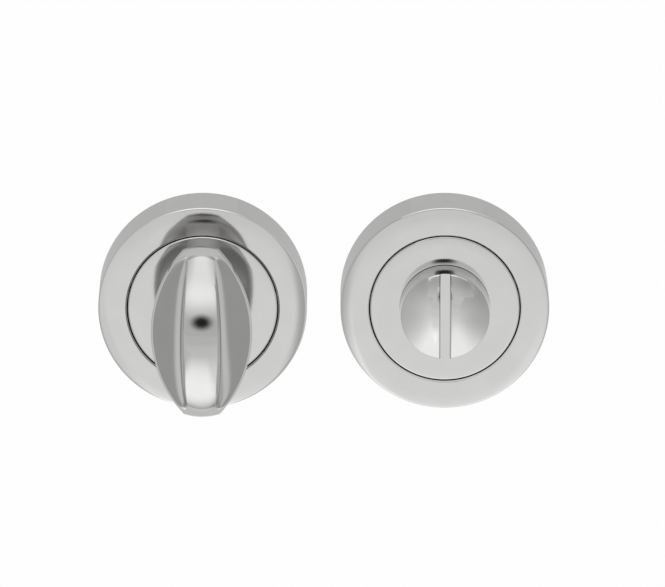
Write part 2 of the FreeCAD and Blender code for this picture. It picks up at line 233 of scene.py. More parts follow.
def natural_nylon(finish):
    """Natural nylon: off-white, faintly cloudy and softly satin."""
    material, shader, wires, coords = new_material("natural_nylon")
    cloud = wires.noise(coords, scale=500.0, detail=3.0)
    grain = wires.noise(coords, scale=6000.0, detail=2.0)
    colour = wires.blend(cloud, tint(finish.nylon, 0.96), tint(finish.nylon, 1.03))
    feed(shader, Base_Color=colour, Roughness=0.42 + cloud * 0.14,
         Normal=wires.bump(grain, strength=0.12, distance=0.00004))
    return material


def rose_chrome(finish):
    """The roses' chrome: the thumb turn's chrome with painted light, made brighter by a tone."""
    # painted light: the same chrome made brighter by the roses' tone
    return polished_chrome(finish, "rose_chrome", finish.rose_painted_light)


def turn_chrome(finish):
    """The thumb turn's chrome, with painted shade, darker and rougher, on the part behind the grip."""
    def behind_grip(wires, coords):
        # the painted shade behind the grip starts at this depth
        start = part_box("thumb_turn")[0].y + finish.unshaded_depth
        return wires.axis(coords, "Y").smooth_step(start - SHADE_FADE / 4, start + SHADE_FADE * 3 / 4)

    return polished_chrome(finish, "turn_chrome", 1.0, behind_grip)


def release_chrome(finish):
    """The release's chrome, painted as bright as the roses', with painted shade on the milled sides of its slot.
    """
    def slot_sides(wires, coords):
        # painted shade on the slot's milled sides
        release = bpy.context.scene.lock_release
        top = release.slot_width / 2
        bottom = top - release.slot_draft
        aside = wires.maths("ABSOLUTE", wires.axis(coords, "X") - AXES["release"])
        floor = -ROSE_FACE - release.slot_floor
        in_slot = wires.axis(coords, "Y").smooth_step(floor, floor - 5 * SLOT_FADE)
        inside = aside.smooth_step(bottom - SLOT_FADE, bottom)
        outside = aside.smooth_step(top + 3 * SLOT_FADE, top + SLOT_FADE)
        return inside * outside * in_slot

    # painted light: the release shares the roses' brighter tone
    return polished_chrome(finish, "release_chrome", finish.rose_painted_light, slot_sides)


MATERIAL_MAKERS = {
    "turn_chrome": turn_chrome,
    "release_chrome": release_chrome,
    "chrome": polished_chrome,
    "rose_chrome": rose_chrome,
    "steel": zinc_plate,
    "black_steel": black_spring_steel,
    "nylon": natural_nylon,
}


def slot_colour(slot):
    """The record's base colour for a material slot."""
    for material in frame["record"]["materials"]:
        if material["slot"] == slot:
            return tuple(material["base_color"])
    raise RuntimeError("the record has no material slot " + slot)


def finish_material(slot):
    """The finish for a material slot, made once."""
    known = bpy.context.scene.get("lock_finishes", {})
    if slot in known:
        return bpy.data.materials[known[slot]]
    material = MATERIAL_MAKERS[slot](bpy.context.scene.lock_finish)
    bpy.context.scene["lock_finishes"] = {**dict(known), slot: material.name}
    return material


# Sizes and colours that a user would change

def length(name, description, default):
    """A length in metres."""
    return FloatProperty(name=name, description=description, default=default, min=0.0,
                         subtype="DISTANCE", unit="LENGTH", precision=5)


def colour(name, description, default):
    """A colour that is written as it renders."""
    return FloatVectorProperty(name=name, description=description, default=default, size=3,
                               min=0.0, max=1.0, subtype="COLOR")


def amount(name, description, default):
    """A plain number."""
    return FloatProperty(name=name, description=description, default=default, min=0.0)


def angle(name, description, degrees):
    """An angle, with its default in degrees."""
    return FloatProperty(name=name, description=description, default=math.radians(degrees), subtype="ANGLE")


def half_span(node, axis):
    """Half the size of a node along an axis."""
    low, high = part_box(node)
    return (high[axis] - low[axis]) / 2


ROSE_FACE = -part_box("turn_cover_ring")[0].y
INSIDE_BOX = 0.9998  # keeps the smooth rim inside the box of the faceted solid
CLIP_GAP = 0.00002
RUNNING_GAP = 0.00035


class LockRose(PropertyGroup):
    """Sizes of a rose: its cover ring and the sub-rose under it."""
    radius: length("Radius", "Radius of the rose", half_span("turn_cover_ring", 0) * INSIDE_BOX)
    height: length("Height", "Height of the rose's face above the door", ROSE_FACE)
    wall: length("Wall", "Thickness of the pressed cover", 0.0012)
    ring_width: length("Ring width", "Width of the outer ring of the face", 0.00685)
    ring_gap: length("Ring gap", "Groove between the ring and the disc", 0.00017)
    ring_crown: length("Ring crown", "Drop of the ring's face towards the outer edge", 0.0002)
    ring_crown_width: length("Ring crown width", "Width over which the ring's face drops", 0.0042)
    disc_crown: length("Disc crown", "Drop of the disc's face towards the groove", 0.0001)
    disc_crown_width: length("Disc crown width", "Width over which the disc's face drops", 0.0026)
    outer_round: length("Outer round", "Rounding of the rose's outer edge", 0.0003)
    ring_round: length("Ring round", "Rounding of the ring towards the groove", 0.00045)
    disc_round: length("Disc round", "Rounding of the disc towards the groove", 0.0006)
    casting_round: length("Casting round", "Rounding of the casting's hidden edges", 0.0003)
    flange_radius: length("Flange radius", "Radius of the screw flange", half_span("turn_sub_rose", 0))
    flange: length("Flange", "Thickness of the screw flange", 0.003)
    groove_width: length("Groove width", "Width of the snap ring's groove", 0.0009)
    groove_depth: length("Groove depth", "Depth of the snap ring's groove", 0.0007)
    hub_wall: length("Hub wall", "Wall of the cored hub", 0.003)
    hub_web: length("Hub web", "Thickness of the disc", 0.004)
    boss_back: length("Boss back", "Height of the boss's back above the door", -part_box("turn_bush")[1].y)
    boss_wall: length("Boss wall", "Wall of the boss round the bush", 0.002)
    seat_gap: length("Seat gap", "Gap between the casting and the bush", 0.00002)
    bush_flange_radius: length("Bush flange radius", "Radius of the bush's flange", half_span("turn_bush", 0))
    bush_flange_width: length("Bush flange width", "Step from the bush to its flange", 0.0016)
    bush_flange_back: length("Bush flange back", "Thickness of the bush's flange", 0.001)
    rib: length("Rib", "Thickness of the ribs in the hub", 0.002)
    fixing_radius: length("Fixing radius", "Radius of the fixing holes' circle",
                          half_span("turn_wood_screws", 2) - half_span("turn_wood_screws", 0))
    fixing_hole: length("Fixing hole", "Diameter of the fixing holes", 0.0032)


class LockShank(PropertyGroup):
    """Sizes of the shanks and their sockets."""
    radius: length("Radius", "Radius of the shank", 0.0055)
    end: length("End", "Reach of the shank behind the door's face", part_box("thumb_turn")[1].y)
    chamfer: length("Chamfer", "Chamfer of the shank's end", 0.0006)
    clip_front: length("Clip front", "Front of the circlip's groove", -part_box("turn_circlip")[0].y + CLIP_GAP)
    clip_back: length("Clip back", "Back of the circlip's groove", -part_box("turn_circlip")[1].y - CLIP_GAP)
    clip_depth: length("Clip depth", "Depth of the circlip's groove", 0.0006)
    seat: length("Seat", "Front of the bush's flange, with the running gap", ROSE_FACE + RUNNING_GAP)
    socket: length("Socket", "Width of the square socket", 0.0051)
    socket_depth: length("Socket depth", "Depth of the square socket", 0.013)
    grub_hole: length("Grub hole", "Diameter of the set screw's hole", 0.003)
    grub_from_end: length("Grub from end", "Set screw's distance from the shank's end", 0.0026)


class LockTurn(PropertyGroup):
    """Sizes of the thumb turn's grip, with heights above the rose's face."""
    length: length("Length", "Length of the grip", half_span("thumb_turn", 2) * 2)
    width: length("Width", "Width of the grip", half_span("thumb_turn", 0) * 2)
    tip_width: length("Tip width", "Width of the blunt tips", 0.0084)
    tip_bulge: length("Tip bulge", "Bulge of the blunt tips", 0.0007)
    edge_height: length("Edge height", "Height of the grip's edge", 0.0198)
    edge_wall: length("Edge wall", "Thickness of the grip's edge", 0.0022)
    edge_round: length("Edge round", "Rounding of the grip's edge", 0.0003)
    lip: length("Lip", "Flat lip outside the flanks", 0.00045)
    ridge_height: length("Ridge height", "Height of the ridge", -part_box("thumb_turn")[0].y - ROSE_FACE)
    ridge_radius: length("Ridge radius", "Radius of the ridge's sweep from tip to tip", 0.0213)
    crown_radius: length("Crown radius", "Radius across the top of the ridge", 0.030)
    crown_end_radius: length("Crown end radius", "Radius across the ridge at its ends", 0.0065)
    ridge_width: length("Ridge width", "Width of the ridge at its middle", 0.0082)
    ridge_tip_width: length("Ridge tip width", "Width of the ridge at its ends", 0.0060)
    ridge_round: length("Ridge round", "Rounding of the ridge's edges", 0.00055)
    flank_turn: angle("Flank turn", "Angle through which a hollow flank turns", 45.0)
    neck_radius: length("Neck radius", "Radius of the round neck", 0.010)
    neck_height: length("Neck height", "Height at which the neck starts to flare", 0.009)
    neck_corner: angle("Neck corner", "Angle on the neck that becomes a tip's corner", 25.0)


class LockRelease(PropertyGroup):
    """Sizes of the slotted release, with heights above the rose's face."""
    radius: length("Radius", "Radius of the release", half_span("release_head", 0))
    skirt: length("Skirt", "Height of the round skirt", 0.0066)
    dome: length("Dome", "Rise of the dome above the skirt", 0.0031)
    edge: length("Edge", "Rounding of the skirt's edge", 0.00035)
    flare: length("Flare", "Flare of the skirt towards the rose", 0.0003)
    slot_width: length("Slot width", "Width of the coin slot", 0.0027)
    slot_floor: length("Slot floor", "Height of the coin slot's floor", 0.0062)
    slot_draft: length("Slot draft", "Taper of each side of the coin slot", 0.00025)
    slot_round: length("Slot round", "Rounding of the coin slot's edges", 0.0002)


class LockScrew(PropertyGroup):
    """Sizes of the wood screws."""
    head_radius: length("Head radius", "Radius of the pan head", half_span("turn_wood_screws", 0))
    head_height: length("Head height", "Height of the pan head", 0.0018)
    seat: length("Seat", "Height of the head's seat above the door", 0.003)
    tip: length("Tip", "Reach of the tip behind the door's face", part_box("turn_wood_screws")[1].y)
    radius: length("Radius", "Radius over the thread", 0.0014)
    core: length("Core", "Radius of the core under the thread", 0.00095)
    pitch: length("Pitch", "Pitch of the thread", 0.0012)
    point: length("Point", "Length of the point", 0.003)
    recess: length("Recess", "Reach of the cross recess", 0.0028)
    recess_width: length("Recess width", "Width of the cross recess's arms", 0.0008)
    recess_depth: length("Recess depth", "Depth of the cross recess", 0.0012)


class LockFinish(PropertyGroup):
    """Colours and gloss of the finishes."""
    chrome: colour("Chrome", "Reflection colour of the chrome plate", (0.605, 0.602, 0.593))
    # painted light: a brighter copy of the one chrome for the roses and the release
    rose_painted_light: amount("Rose tone", "Brightness of the roses and the release beside the thumb turn", 1.25)
    # painted shade: colour of the chrome behind the grip and on the slot's sides
    painted_shade_tone: amount("Dull tone", "Brightness of unpolished plate, behind the grip and in the slot", 0.5)
    # depth from the grip's front that is free of the painted shade
    unshaded_depth: length("Polished depth", "Depth of the thumb turn that is polished", 0.0152)
    chrome_roughness: amount("Chrome roughness", "Blur of the chrome's reflections", 0.08)
    haze_scale: amount("Haze scale", "Patches of polishing haze per metre", 160.0)
    ripple_scale: amount("Ripple scale", "Ripples under the plate per metre", 220.0)
    polish_scale: amount("Polish scale", "Polishing lines per metre", 180.0)
    zinc: colour("Zinc", "Colour of the zinc plate", slot_colour("steel"))
    black_steel: colour("Black steel", "Colour of the blackened spring steel", slot_colour("black_steel"))
    nylon: colour("Nylon", "Colour of the nylon bushes", slot_colour("nylon"))


class LockStage(PropertyGroup):
    """Camera, floor and light."""
    elevation: angle("Elevation", "Camera's angle above the roses' axes", 17.0)
    distance: length("Distance", "Camera's distance from the roses' faces", 2.2)
    scale: amount("Scale", "Pixels of the picture for each metre at the roses' faces", 4180.0)
    aim_right: length("Aim right", "Aim, right of the middle between the roses", 0.0021)
    aim_up: length("Aim up", "Aim, above the roses' axes", 0.0038)
    floor_drop: length("Floor drop", "Floor's distance below the roses' axes", 0.15)
    card_foot: length("Card foot", "Side cards' distance from the middle at the floor", 0.06)
    card_head: length("Card head", "Side cards' distance from the middle at their top", 0.35)
    card_top: length("Card top", "Height of the side cards' top", 0.4)
    divider_gap: length("Divider gap", "Cards' distance from the middle between the two halves", 0.001)
    divider_top: length("Divider top", "Height of the cards between the two halves", 0.05)


# Mesh helpers

LATHE_STEPS = 160
ROD_STEPS = 48
ROUND_SEGMENTS = 5
SHARP_ANGLE = math.radians(32.0)
DOUBLES = 1e-6


def at(x, front, z):
    """A point given by its distance in front of the door."""
    return Vector((x, -front, z))


def lathe(bm, axis_x, corners, z=0.0, steps=LATHE_STEPS):
    """Turn a closed outline about a rose's axis. A corner is (radius, front) or (radius, front, rounding)."""
    verts = [bm.verts.new(at(axis_x + corner[0], corner[1], z)) for corner in corners]
    for index, vert in enumerate(verts):
        bm.edges.new((verts[index - 1], vert))
    for vert, corner in zip(verts, corners):
        if len(corner) == 3:
            bmesh.ops.bevel(bm, geom=[vert], affect="VERTICES", offset=corner[2], offset_type="OFFSET",
                            segments=ROUND_SEGMENTS, profile=0.5, material=-1)
    outline = list(bm.verts) + list(bm.edges)
    bmesh.ops.spin(bm, geom=outline, cent=(axis_x, 0.0, z), axis=(0.0, 1.0, 0.0), angle=math.tau,
                   steps=steps, use_merge=True)
    clean(bm)


def clean(bm):
    """Merge doubles and turn all faces outwards."""
    bmesh.ops.remove_doubles(bm, verts=bm.verts, dist=DOUBLES)
    bmesh.ops.dissolve_degenerate(bm, edges=bm.edges, dist=DOUBLES)
    bmesh.ops.recalc_face_normals(bm, faces=bm.faces)


def box_mesh(low, high):
    """Box between two corners."""
    bm = bmesh.new()
    bmesh.ops.create_cube(bm, size=1.0)
    bmesh.ops.scale(bm, vec=high - low, verts=bm.verts)
    bmesh.ops.translate(bm, vec=(low + high) / 2, verts=bm.verts)
    return bm


def rod_mesh(start, end, radius):
    """Round bar between two points."""
    bm = bmesh.new()
    along = end - start
    bmesh.ops.create_cone(bm, cap_ends=True, segments=ROD_STEPS, radius1=radius, radius2=radius,
                          depth=along.length)
    turn = along.to_track_quat("Z", "Y").to_matrix().to_4x4()
    turn.translation = (start + end) / 2
    bm.transform(turn)
    return bm


def spin_about(bm, axis_x, angle):
    """Turn a mesh made on the origin's axis about it, and move it to a rose's axis."""
    bmesh.ops.rotate(bm, cent=(0.0, 0.0, 0.0), matrix=Matrix.Rotation(angle, 3, "Y"), verts=bm.verts)
    bmesh.ops.translate(bm, vec=(axis_x, 0.0, 0.0), verts=bm.verts)


def mesh_object(name, bm):
    """An object at the origin that takes over a bmesh."""
    mesh = bpy.data.meshes.new(name)
    bm.to_mesh(mesh)
    bm.free()
    made = bpy.data.objects.new(name, mesh)
    bpy.context.scene.collection.objects.link(made)
    return made


def carved(bm, tools, operation="DIFFERENCE"):
    """The bmesh with tool meshes cut from it, or joined to it, one after the other."""
    for tool in tools:
        body = mesh_object("carved_body", bm)
        other = mesh_object("carving_tool", tool)
        change = body.modifiers.new("carve", "BOOLEAN")
        change.object = other
        change.operation = operation
        change.solver = "EXACT"
        bpy.context.view_layer.update()
        graph = bpy.context.evaluated_depsgraph_get()
        bm = bmesh.new()
        bm.from_object(body, graph)
        for used in (body, other):
            mesh = used.data
            bpy.data.objects.remove(used)
            bpy.data.meshes.remove(mesh)
        clean(bm)
    return bm


def round_edges(bm, edges, width, segments=3):
    """Round some edges."""
    bmesh.ops.bevel(bm, geom=edges, affect="EDGES", offset=width, offset_type="OFFSET", segments=segments,
                    profile=0.5, material=-1, clamp_overlap=True)


def sharp(edge):
    return edge.calc_face_angle(0.0) > SHARP_ANGLE


def finished_piece(name, bm, slot, body, node, finish=None):
    """Make a piece of the lock: shading, finish, the body it rides on and the node it stands for."""
    clean(bm)
    for face in bm.faces:
        face.smooth = True
    for edge in bm.edges:
        edge.smooth = not (edge.is_manifold and sharp(edge))
    piece = mesh_object(name, bm)
    shading = piece.modifiers.new("shading", "WEIGHTED_NORMAL")
    shading.keep_sharp = True
    piece.data.materials.append(finish_material(finish or slot))
    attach(piece, body)
    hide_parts(node)


# Pieces

CROWN_STEPS = 6


def crowned(edge, front, drop, width):
    """Face of a rose that drops along a parabola towards an edge: (radius, front) corners up to it."""
    shares = [step / CROWN_STEPS for step in range(CROWN_STEPS)]
    return [(edge - width * (1 - share), front - drop * share ** 2) for share in shares]


def cover_ring_mesh(axis_x, rose):
    """Pressed cover: outer ring of the face and the rim."""
    bore = rose.radius - rose.ring_width
    inside = rose.radius - rose.wall
    back = rose.height - rose.wall
    face = crowned(rose.radius, rose.height, rose.ring_crown, rose.ring_crown_width)
    bm = bmesh.new()
    lathe(bm, axis_x, [
        (bore, back),
        (inside, back, rose.casting_round),
        (inside, 0.0),
        (rose.radius, 0.0, rose.outer_round),
        (rose.radius, rose.height - rose.ring_crown, rose.outer_round),
    ] + face[::-1] + [(bore, rose.height, rose.ring_round)])
    return bm


class LOCK_OT_cover_rings(Operator):
    """Make the pressed cover of each rose"""
    bl_idname = "lock.cover_rings"
    bl_label = "Cover rings"

    def execute(self, context):
        for half in HALVES:
            bm = cover_ring_mesh(AXES[half], context.scene.lock_rose)
            finished_piece(half + "_plated_cover", bm, "chrome", "roses", half + "_cover_ring", "rose_chrome")
        return {"FINISHED"}


def sub_rose_mesh(axis_x, rose):
    """Die casting: screw flange, cored hub with a ribbed boss, and the inner disc of the face."""
    disc = rose.radius - rose.ring_width - rose.ring_gap
    seat = rose.bush_flange_radius + rose.seat_gap
    bore = seat - rose.bush_flange_width
    boss = bore + rose.boss_wall
    recess = disc - rose.hub_wall
    web = rose.height - rose.hub_web
    flange_seat = -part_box("turn_bush")[0].y - rose.bush_flange_back
    groove_low = (rose.flange - rose.groove_width) / 2
    groove_high = groove_low + rose.groove_width
    groove_floor = rose.flange_radius - rose.groove_depth
    soft = rose.casting_round
    bm = bmesh.new()
    lathe(bm, axis_x, [
        (seat, rose.height),
        *crowned(disc, rose.height, rose.disc_crown, rose.disc_crown_width),
        (disc, rose.height - rose.disc_crown, rose.disc_round),
        (disc, rose.flange, soft),
        (rose.flange_radius, rose.flange, soft),
        (rose.flange_radius, groove_high),
        (groove_floor, groove_high),
        (groove_floor, groove_low),
        (rose.flange_radius, groove_low),
        (rose.flange_radius, 0.0, soft),
        (recess, 0.0, soft),
        (recess, web, soft * 2),
        (boss, web, soft * 2),
        (boss, rose.boss_back, soft),
        (bore, rose.boss_back),
        (bore, flange_seat),
        (seat, flange_seat),
    ])
    rib_start = boss - rose.boss_wall / 2
    rib_end = recess + rose.hub_wall / 2
    turn = math.tau / 4
    ribs = []
    holes = []
    for step in range(4):
        rib = box_mesh(at(-rose.rib / 2, web + rose.hub_web / 2, rib_start),
                       at(rose.rib / 2, rose.boss_back, rib_end))
        spin_about(rib, axis_x, turn * (step + 0.5))
        ribs.append(rib)
        hole = rod_mesh(at(0.0, -rose.flange, rose.fixing_radius),
                        at(0.0, rose.flange * 2, rose.fixing_radius), rose.fixing_hole / 2)
        spin_about(hole, axis_x, turn * step)
        holes.append(hole)
    bm = carved(bm, ribs, "UNION")
    return carved(bm, holes)


class LOCK_OT_sub_roses(Operator):
    """Make the casting under each cover, with the inner disc of the face"""
    bl_idname = "lock.sub_roses"
    bl_label = "Sub-roses"

    def execute(self, context):
        for half in HALVES:
            bm = sub_rose_mesh(AXES[half], context.scene.lock_rose)
            finished_piece(half + "_plated_disc", bm, "chrome", "roses", half + "_sub_rose", "rose_chrome")
        return {"FINISHED"}


def shank_corners(shank):
    """Outline of a shank from its seat to its end, as (radius, front) corners."""
    groove = shank.radius - shank.clip_depth
    return [
        (shank.radius, shank.seat),
        (shank.radius, shank.clip_front),
        (groove, shank.clip_front),
        (groove, shank.clip_back),
        (shank.radius, shank.clip_back),
        (shank.radius, shank.chamfer - shank.end),
        (shank.radius - shank.chamfer, -shank.end),
    ]


def socket_tool(axis_x, shank):
    """Square bar that cuts a shank's socket."""
    half = shank.socket / 2
    return box_mesh(at(axis_x - half, shank.socket_depth - shank.end, -half),
                    at(axis_x + half, -shank.end * 2, half))


class GripForm:
    """The grip's surface as functions of a place across and along it."""

    # Columns and rows of the grip's grid from its middle, and the lines of it that carry its edges
    HALF_COLUMNS = 25
    HALF_ROWS = 48
    CREST_SHARE = 9 / HALF_COLUMNS
    LIP_SHARE = 23 / HALF_COLUMNS
    RIDGE_SHARE = 44 / HALF_ROWS
    CROWN_POWER = 6
    HALVINGS = 30

    def __init__(self, turn):
        self.turn = turn
        self.edge_front = ROSE_FACE + turn.edge_height
        self.centre = ROSE_FACE + turn.ridge_height - turn.ridge_radius
        self.end_angle = math.acos((self.edge_front - self.centre) / turn.ridge_radius)
        self.end_z = turn.ridge_radius * math.sin(self.end_angle)
        self.half_tip = turn.tip_width / 2
        self.tip_z = turn.length / 2 - turn.tip_bulge
        rise = turn.width / 2 - self.half_tip
        self.side_radius = (self.tip_z ** 2 + rise ** 2) / (2 * rise)
        self.tip_radius = (self.half_tip ** 2 + turn.tip_bulge ** 2) / (2 * turn.tip_bulge)

    def half_width(self, z):
        """Half-width of the lemon outline on its side arc."""
        return self.turn.width / 2 - self.side_radius + math.sqrt(self.side_radius ** 2 - z ** 2)

    def tip_at(self, x):
        """Height of the blunt tip's arc."""
        return self.turn.length / 2 - self.tip_radius + math.sqrt(self.tip_radius ** 2 - x ** 2)

    def crest(self, x, z):
        """Front of the ridge, no lower than the lip. Its crown grows rounder towards the ridge's ends."""
        share = min(abs(z) / self.end_z, 1.0) ** self.CROWN_POWER
        crown = 1 / ((1 - share) / self.turn.crown_radius + share / self.turn.crown_end_radius)
        radius = self.turn.ridge_radius - crown + math.sqrt(crown ** 2 - x ** 2)
        return max(self.edge_front, self.centre + math.sqrt(max(radius ** 2 - z ** 2, 0.0)))

    def ridge_end(self, x):
        """Height at which the crowned ridge comes down to the lip."""
        low, high = 0.0, self.end_z
        for _ in range(self.HALVINGS):
            middle = (low + high) / 2
            if self.crest(x, middle) > self.edge_front:
                low = middle
            else:
                high = middle
        return low

    def ridge_half_width(self, share):
        """Half-width of the ridge, for a share of the way from its middle to its end."""
        middle, end = self.turn.ridge_width, self.turn.ridge_tip_width
        return (middle + (end - middle) * share ** 2) / 2

    def section(self, across, z, share):
        """Point (x, front) of the cross-section at a height, for a place across it.

        The place is 0 at the middle and 1 at the edge. The hollow flank grows shallow where it runs out,
        so that it never dips below the lip.
        """
        turn = self.turn
        ridge = self.ridge_half_width(share)
        edge = self.half_width(z)
        foot = edge - turn.lip
        if across <= self.CREST_SHARE:
            x = ridge * across / self.CREST_SHARE
            return x, self.crest(x, z)
        if across >= self.LIP_SHARE:
            return foot + turn.lip * (across - self.LIP_SHARE) / (1 - self.LIP_SHARE), self.edge_front
        top = self.crest(ridge, z)
        climb = top - self.edge_front
        sag = math.tan(turn.flank_turn / 4)
        dip = (foot - ridge) * sag
        shallow = climb / max((climb ** 4 + (2 * dip) ** 4) ** 0.25, DOUBLES)
        bend_x = (foot + ridge) / 2 - climb * sag
        bend_front = (self.edge_front + top) / 2 - dip * shallow
        part = (across - self.CREST_SHARE) / (self.LIP_SHARE - self.CREST_SHARE)
        near, far = (1 - part) ** 2, part ** 2
        both = 2 * part * (1 - part)
        return (near * ridge + both * bend_x + far * foot,
                near * top + both * bend_front + far * self.edge_front)

    def place(self, across, along):
        """Point of the grip's front for a place from -1 to 1 across and along it."""
        side = math.copysign(1.0, across)
        end = math.copysign(1.0, along)
        share = min(abs(along) / self.RIDGE_SHARE, 1.0)
        on_ridge = self.ridge_half_width(share) * min(abs(across) / self.CREST_SHARE, 1.0)
        z = self.ridge_end(on_ridge) * math.sin(self.end_angle * share) / math.sin(self.end_angle)
        x, front = self.section(abs(across), z, share)
        past = max(abs(along) - self.RIDGE_SHARE, 0.0) / (1 - self.RIDGE_SHARE)
        if past > 0.0:
            tip_x = self.half_tip * abs(across)
            x += (tip_x - x) * past
            front += (self.edge_front - front) * past
            z += (self.tip_at(tip_x) - z) * past
        return at(side * x, front, end * z)


NECK_STEPS = 12
ON_LINE = 0.001
ROUNDING_STOP = 0.03  # share of the grip's half-length at each end of the ridge that keeps its edges sharp


def grip_mesh(turn, shank):
    """Lemon-shaped grip with a ridge between hollow flanks, its flared neck and its shank, as one skin."""
    form = GripForm(turn)
    bm = bmesh.new()
    around = bm.verts.layers.float.new("around")
    lemon_x = bm.verts.layers.float.new("lemon_x")
    lemon_z = bm.verts.layers.float.new("lemon_z")
    bmesh.ops.create_grid(bm, x_segments=2 * form.HALF_COLUMNS, y_segments=2 * form.HALF_ROWS, size=1.0)
    ridge_edges = []
    for edge in bm.edges:
        on_line = all(abs(abs(vert.co.x) - form.CREST_SHARE) < ON_LINE for vert in edge.verts)
        if on_line and max(abs(vert.co.y) for vert in edge.verts) < form.RIDGE_SHARE - ROUNDING_STOP:
            ridge_edges.append(edge)
    rim_verts = [vert for vert in bm.verts if vert.is_boundary]
    corner = math.pi / 2 - turn.neck_corner
    for vert in rim_verts:
        across, along = vert.co.x, vert.co.y
        if abs(along) > 1 - ON_LINE:
            angle = math.pi / 2 - turn.neck_corner * across
            vert[around] = math.copysign(1.0, along) * angle
        else:
            angle = corner * form.place(across, along).z / form.tip_z
            vert[around] = angle if across > 0 else math.pi - angle
    for vert in bm.verts:
        vert.co = form.place(vert.co.x, vert.co.y)
    for vert in rim_verts:
        vert[lemon_x], vert[lemon_z] = vert.co.x, vert.co.z

    def draw_on(rim, front, share, radius):
        """Extend the skin from an open rim to the outline between a circle and the lemon."""
        made = bmesh.ops.extrude_edge_only(bm, edges=rim)["geom"]
        verts = [item for item in made if isinstance(item, bmesh.types.BMVert)]
        for vert in verts:
            x = radius * math.cos(vert[around])
            z = radius * math.sin(vert[around])
            vert.co = at(x + (vert[lemon_x] - x) * share, front, z + (vert[lemon_z] - z) * share)
        edges = [item for item in made if isinstance(item, bmesh.types.BMEdge)]
        fresh = set(verts)
        return [edge for edge in edges if fresh.issuperset(edge.verts)]

    edge_back = form.edge_front - turn.edge_wall
    neck_front = ROSE_FACE + turn.neck_height
    front_rim = [edge for edge in bm.edges if edge.is_boundary]
    back_rim = draw_on(front_rim, edge_back, 1.0, turn.neck_radius)
    rim = back_rim
    for step in range(1, NECK_STEPS + 1):
        angle = math.pi / 2 * (1 - step / NECK_STEPS)
        front = neck_front + (edge_back - neck_front) * math.sin(angle)
        rim = draw_on(rim, front, 1 - math.cos(angle), turn.neck_radius)
    rim = neck_rim = draw_on(rim, shank.seat, 0.0, turn.neck_radius)
    for radius, front in shank_corners(shank):
        rim = draw_on(rim, front, 0.0, radius)
    bmesh.ops.contextual_create(bm, geom=rim)
    round_edges(bm, ridge_edges, turn.ridge_round, 4)
    rims = [edge for edge in front_rim + back_rim + neck_rim if edge.is_valid]
    round_edges(bm, rims, turn.edge_round)
    clean(bm)
    middle = shank.grub_from_end - shank.end
    grub = rod_mesh(at(0.0, middle, 0.0), at(0.0, middle, shank.radius * 2), shank.grub_hole / 2)
    return carved(bm, [socket_tool(0.0, shank), grub])


class LOCK_OT_thumb_turn(Operator):
    """Make the thumb turn: grip, neck and shank in one piece"""
    bl_idname = "lock.thumb_turn"
    bl_label = "Thumb turn"

    def execute(self, context):
        bm = grip_mesh(context.scene.lock_turn, context.scene.lock_shank)
        bmesh.ops.translate(bm, vec=(AXES["turn"], 0.0, 0.0), verts=bm.verts)
        finished_piece("plated_thumb_turn", bm, "chrome", "turn", "thumb_turn", "turn_chrome")
        return {"FINISHED"}


DOME_STEPS = 24
FLARE_STEPS = 6
FLARE_START = 0.25  # share of the skirt's depth above the flare
SLOT_OVERRUN = 1.5  # reach of the slot's cutter beside the release's radius


def release_mesh(axis_x, release, shank):
    """Slotted dome on a round skirt, in one piece with its shank."""
    skirt = ROSE_FACE + release.skirt
    sphere = (release.radius ** 2 + release.dome ** 2) / (2 * release.dome)
    sphere_front = skirt + release.dome - sphere
    end_angle = math.asin(release.radius / sphere)
    dome = []
    for step in range(DOME_STEPS):
        angle = end_angle * step / DOME_STEPS
        dome.append((sphere * math.sin(angle), sphere_front + sphere * math.cos(angle)))
    flare = []
    for step in range(1, FLARE_STEPS + 1):
        share = step / FLARE_STEPS
        flare.append((release.radius + release.flare * share ** 2,
                      skirt + (shank.seat - skirt) * (FLARE_START + (1 - FLARE_START) * share)))
    bm = bmesh.new()
    lathe(bm, axis_x, dome + [(release.radius, skirt, release.edge)] + flare + shank_corners(shank)
          + [(0.0, -shank.end)])
    half = release.slot_width / 2
    reach = release.radius * SLOT_OVERRUN
    floor = ROSE_FACE + release.slot_floor
    slot = box_mesh(at(axis_x - half, skirt + release.dome, -reach), at(axis_x + half, floor, reach))
    for vert in slot.verts:
        if -vert.co.y < floor + DOUBLES:
            vert.co.x += math.copysign(release.slot_draft, axis_x - vert.co.x)
    bm = carved(bm, [socket_tool(axis_x, shank), slot])

    def on_slot(edge):
        middle = (edge.verts[0].co + edge.verts[1].co) / 2
        return abs(middle.x - axis_x) < half + DOUBLES and -middle.y > floor + DOUBLES and sharp(edge)

    slot_edges = [edge for edge in bm.edges if edge.is_manifold and on_slot(edge)]
    if not slot_edges:
        raise RuntimeError("the slot has no edge to round")
    round_edges(bm, slot_edges, release.slot_round)
    return bm


class LOCK_OT_release(Operator):
    """Make the slotted release with its shank"""
    bl_idname = "lock.release"
    bl_label = "Release"

    def execute(self, context):
        scene = context.scene
        bm = release_mesh(AXES["release"], scene.lock_release, scene.lock_shank)
        finished_piece("plated_release", bm, "chrome", "release", "release_head", "release_chrome")
        return {"FINISHED"}


HEAD_FLAT = 0.5  # flat top of a screw's head as a share of its radius
HEAD_SHOULDER = 0.45  # height of the head's shoulder as a share of its height, as are the three roundings
HEAD_TOP_ROUND, HEAD_SHOULDER_ROUND, HEAD_SEAT_ROUND = 0.1, 0.3, 0.08
THREAD_STEPS = 24
THREAD_ROOT = 0.9  # inner radius of the thread as a share of the core's, so that it sits in the core
THREAD_HALF_WIDTH = 0.6  # half the thread's width at its root as a share of its depth
THREAD_POINT = 0.02  # what is left of the thread's radius at the tip


